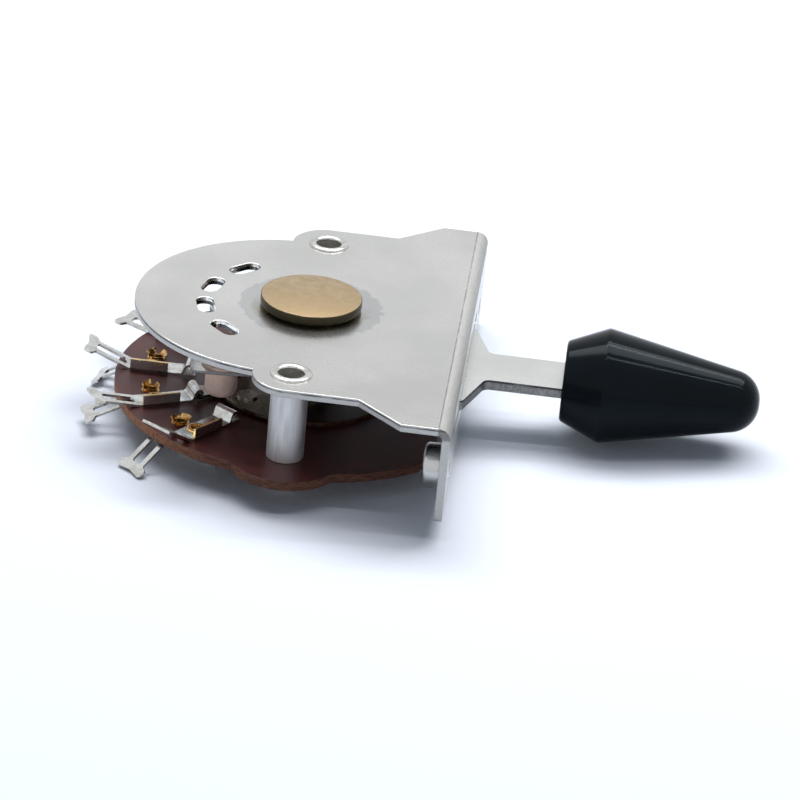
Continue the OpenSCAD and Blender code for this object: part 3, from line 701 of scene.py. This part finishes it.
# %% Profile and finish of the knob
def rounded_profile(corners, radii, steps=10):
    """Each corner b between a and c becomes an arc of radius r that touches both lines: its centre lies on the
    bisector at r / sin(half angle) and the arc starts r / tan(half angle) from the corner."""
    rows = [np.array(corners[0], float)]
    for a, b, c, r in zip(corners[:-2], corners[1:-1], corners[2:], radii):
        a, b, c = (np.array(p, float) for p in (a, b, c))
        u, w = (a - b) / np.linalg.norm(a - b), (c - b) / np.linalg.norm(c - b)
        half = math.acos(np.clip(u @ w, -1, 1)) / 2
        centre = b + (u + w) / np.linalg.norm(u + w) * r / math.sin(half)
        p, q = b + u * r / math.tan(half) - centre, b + w * r / math.tan(half) - centre
        start = math.atan2(p[1], p[0])
        turn = (math.atan2(q[1], q[0]) - start + math.pi) % (2 * math.pi) - math.pi
        angles = start + turn * np.linspace(0, 1, steps)
        rows += list(centre + r * np.stack([np.cos(angles), np.sin(angles)], 1))
    return np.array(rows + [np.array(corners[-1], float)])


def spaced(profile, step):
    """The same line with points at even steps along it: positions are interpolated over the summed length."""
    run = np.concatenate([[0], np.cumsum(np.linalg.norm(np.diff(profile, axis=0), axis=1))])
    at = np.unique(np.concatenate([run, np.arange(0, run[-1], step)]))
    return np.stack([np.interp(at, run, profile[:, i]) for i in (0, 1)], 1)


def knob_finish():
    f = Finish("black_moulding", roughness=0.12, Specular_IOR_Level=0.09, Specular_Tint=(0.72, 0.9, 1.0, 1))
    wave = f.noise(0.16, 3, 0.5)
    dust = f.noise(5, 3, 0.6)
    tone = f.mix(f.spread(wave, 0.3, 0.7), (0.0028, 0.0042, 0.006), (0.0042, 0.006, 0.0085))
    rough = f.math("ADD", f.spread(wave, 0.3, 0.7, 0.09, 0.15), f.spread(dust, 0.6, 0.8, 0, 0.1))
    normal = f.bump(wave, 0.05, 0.5)
    return f.done(color=tone, roughness=rough, normal=f.bump(dust, 0.0015, 0.4, normal))


FOOT_R, RIDGE_R, TIP_R = 4.5, 6.5, 2.95
RIDGE_AT, LENGTH = 4.6, 22.1
corners = [(0, 0), (FOOT_R, 0), (RIDGE_R, RIDGE_AT), (TIP_R, LENGTH), (0, LENGTH)]
knob_profile = spaced(rounded_profile(corners, [0.5, 0.9, 3.304], 24), 0.6)
KNOB_FOOT = PIVOT + np.array([29.0, 0, -5.3]) * MM
knob_mesh = mesh_from("knob_moulding", [turned(knob_profile, KNOB_FOOT, (1, 0, 0), 128)], 50)
add_piece("knob_moulding", knob_mesh, "lever", knob_finish(), ["knob"])

# %% [markdown]
# ## Posts
# A spacer is a short length of rolled tube, scuffed along its length. The eyelet through it has a rolled
# rim at each end, which is a half round that curls out over the sheet.

# %% Spacers and post eyelets
def tube_finish():
    f = Finish("scuffed_tube", metallic=1.0)
    scuff = f.noise(1.6, 4, 0.65, stretch=(1, 1, 0.1))
    cloud = f.noise(0.4, 3, 0.6)
    tone = f.mix(f.spread(scuff, 0.4, 0.75), (0.58, 0.58, 0.59), (0.44, 0.44, 0.45))
    rough = f.spread(cloud, 0.3, 0.7, 0.46, 0.56)
    return f.done(color=tone, roughness=rough, normal=f.bump(scuff, 0.01, 0.5))


def rim_finish():
    f = Finish("rolled_rim", metallic=1.0)
    wear = f.noise(1.2, 3, 0.6)
    tone = f.mix(f.spread(wear, 0.35, 0.7), (0.6, 0.6, 0.58), (0.42, 0.41, 0.39))
    below_plate_top = f.spread(f.axis(f.place, "Z"), PLATE_TOP * MM, 7.1 * MM)
    inside = f.times(below_plate_top, f.spread(f.axis(f.normal, "Z"), 0.5, 0.1))
    tone = f.mix(f.times(inside, 0.5), tone, (0.5, 0.48, 0.44))
    rough = f.math("ADD", f.spread(wear, 0.3, 0.7, 0.14, 0.26), f.times(inside, 0.3))
    return f.done(color=tone, roughness=rough, normal=f.bump(wear, 0.01, 0.4))


tube, rim = tube_finish(), rim_finish()
POST_Y = 17.65
wall = [(1.64, -9.9), (1.98, -9.9), (2.05, -9.83), (2.05, -0.97), (1.98, -0.9), (1.64, -0.9), (1.64, -9.9)]
curl = np.linspace(0, np.pi, 11)
top_rim = [(1.85 + 0.45 * math.cos(a), 0.01 + 0.3 * math.sin(a)) for a in curl]
low_rim = [(1.85 - 0.45 * math.cos(a), -11.01 - 0.3 * math.sin(a)) for a in curl]
through = [(1.6, 0), *top_rim, (1.4, -0.2), (1.4, -10.8), *low_rim, (1.6, -11.0), (1.6, 0)]
for name, side in (("left", -1), ("right", 1)):
    foot = PIVOT + np.array([0, side * POST_Y, 0]) * MM
    tube_mesh = mesh_from(f"tube_{name}", [turned(wall, foot, (0, 0, 1), 64)])
    rim_mesh = mesh_from(f"rim_{name}", [turned(through, foot, (0, 0, 1), 64)])
    add_piece(f"tube_{name}", tube_mesh, "frame", tube, [f"spacer_{name}"])
    add_piece(f"rim_{name}", rim_mesh, "frame", rim, [f"eyelet_{name}"])

# %% [markdown]
# ## Detent springs and screw threads
# Both are helices. A round wire follows the line (r cos t, r sin t, rise * t), and a screw thread is the
# same line with a V section inside the hole of each boss.

# %% Helical wire and thread
def helix(middle, axis, section, radius, pitch, turns, steps_per_turn=28, flat_ends=0.0):
    """Sweeps a section, rows of (out, up) in mm, along a helix about an axis. With flat_ends above 0 the rise
    slows to nothing over that share of the length at both ends, as in a spring with closed ends."""
    axis = np.array(axis, float)
    side = np.cross(axis, [0.0, 0.0, 1.0] if abs(axis[2]) < 0.9 else [1.0, 0.0, 0.0])
    side /= np.linalg.norm(side)
    other = np.cross(axis, side)
    count = int(turns * steps_per_turn) + 1
    t = np.linspace(0, 2 * np.pi * turns, count)
    share = t / t[-1]
    ease = np.clip(share / max(flat_ends, 1e-6), 0, 1) * np.clip((1 - share) / max(flat_ends, 1e-6), 0, 1)
    rise = np.cumsum(ease) if flat_ends else t
    rise = rise / rise[-1] * pitch * turns
    out = np.cos(t)[:, None] * side + np.sin(t)[:, None] * other
    section = np.array(section, float)
    reach = radius + section[None, :, :1]
    points = out[:, None] * reach + (rise[:, None, None] + section[None, :, 1:]) * axis
    points = points * MM + middle
    parts = [(points, grid_faces(count, len(section), False, True))]
    for end in (0, count - 1):
        parts.append((points[end], np.arange(len(section))[None, :]))
    return parts


f = Finish("spring_wire", metallic=1.0)
wire_finish = f.done(
    color=f.mix(f.spread(f.noise(2, 3, 0.6), 0.35, 0.7), (0.5, 0.5, 0.52), (0.3, 0.29, 0.28)),
    roughness=0.28, normal=f.bump(f.noise(8, 2, 0.5), 0.003, 0.5)
)
WIRE, COIL, COILS = 0.17, 1.08, 6
round_wire = [(WIRE * math.cos(a), WIRE * math.sin(a)) for a in np.linspace(0, 2 * np.pi, 12, endpoint=False)]
for name, side in (("left", -1), ("right", 1)):
    low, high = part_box(f"detent_spring_{name}")
    middle = np.array([(low[0] + high[0]) / 2, (low[1] + high[1]) / 2, low[2] + WIRE * MM])
    height = (high[2] - low[2]) / MM - 2 * WIRE
    coils = helix(middle, (0, 0, 1), round_wire, COIL, height / COILS, COILS, 28, 0.12)
    coil = mesh_from(f"coil_{name}", coils, 35, False)
    add_piece(f"coil_{name}", coil, "lever", wire_finish, [f"detent_spring_{name}"])

HOLE_SPACING, HOLE_R = 41.3, 1.45
thread_v = [(0.02, -0.22), (-0.2, -0.03), (-0.2, 0.03), (0.02, 0.22)]
for name, side in (("left", -1), ("right", 1)):
    start = np.array([-2.75, side * HOLE_SPACING / 2, 0]) * MM
    ridge = helix(start, (1, 0, 0), thread_v, HOLE_R, 0.5, 5, 36)
    thread = mesh_from(f"thread_{name}", ridge, 25, False)
    add_piece(f"thread_{name}", thread, "frame", frame_finish)

# %% [markdown]
# ## What stays as it is
# The remaining solids are small or hidden: washer, cups, balls, blades and rivets. They keep their shape
# and get a finish of their own.

# %% Finishes for the other solids
def plain_metal(name, bright, dull, rough, metallic=1.0):
    f = Finish(name, metallic=metallic)
    wear = f.noise(1.4, 4, 0.65)
    tone = f.mix(f.spread(wear, 0.35, 0.7), bright, dull)
    rough = f.spread(wear, 0.3, 0.7, rough, rough + 0.14)
    return f.done(color=tone, roughness=rough, normal=f.bump(wear, 0.01, 0.5))


def fibre_finish():
    f = Finish("greased_fibre", roughness=0.35)
    film = f.noise(1.5, 4, 0.6)
    return f.done(
        color=f.mix(f.spread(film, 0.3, 0.7), (0.02, 0.017, 0.012), (0.06, 0.05, 0.035)),
        roughness=f.spread(film, 0.3, 0.7, 0.25, 0.5), normal=f.bump(film, 0.02, 0.6)
    )


# the cups are painted pale pink at full brightness: a painted reflection of the red board, and painted light in
# the plate's shade
cup_painted_light = plain_metal("drawn_cup", (1.0, 0.72, 0.6), (0.9, 0.63, 0.52), 0.5, 0.0)
ball_finish = plain_metal("polished_ball", (0.72, 0.71, 0.7), (0.6, 0.58, 0.56), 0.06)
# the rotor blades are dark: tarnish, and shade painted for the dark space under the plate
blade_tarnish_and_shade = plain_metal("wiped_silver", (0.27, 0.24, 0.2), (0.21, 0.185, 0.15), 0.14)
rivet_finish = plain_metal("blade_rivets", (0.5, 0.48, 0.44), (0.34, 0.31, 0.26), 0.2)
washer_finish = plain_metal("spring_washer", (0.5, 0.5, 0.5), (0.34, 0.33, 0.32), 0.28)
others = {
    "thrust_washer": fibre_finish(), "push_on_washer": washer_finish, "detent_cup_left": cup_painted_light,
    "detent_cup_right": cup_painted_light, "detent_ball_left": ball_finish, "detent_ball_right": ball_finish,
    "rotor_blade_top": blade_tarnish_and_shade, "rotor_blade_bottom": blade_tarnish_and_shade, "rotor_rivets": rivet_finish,
}
for node, material in others.items():
    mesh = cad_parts[node].data
    mesh.materials.clear()
    mesh.materials.append(material)
for node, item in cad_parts.items():
    if node not in others:
        item.data.materials.clear()
        item.data.materials.append(frame_finish)
print("finished solids:", sorted(others))

# %% [markdown]
# ## Colour management
# The Standard view leaves a colour as it is lit.

# %% Finish
scene.view_settings.view_transform = "Standard"
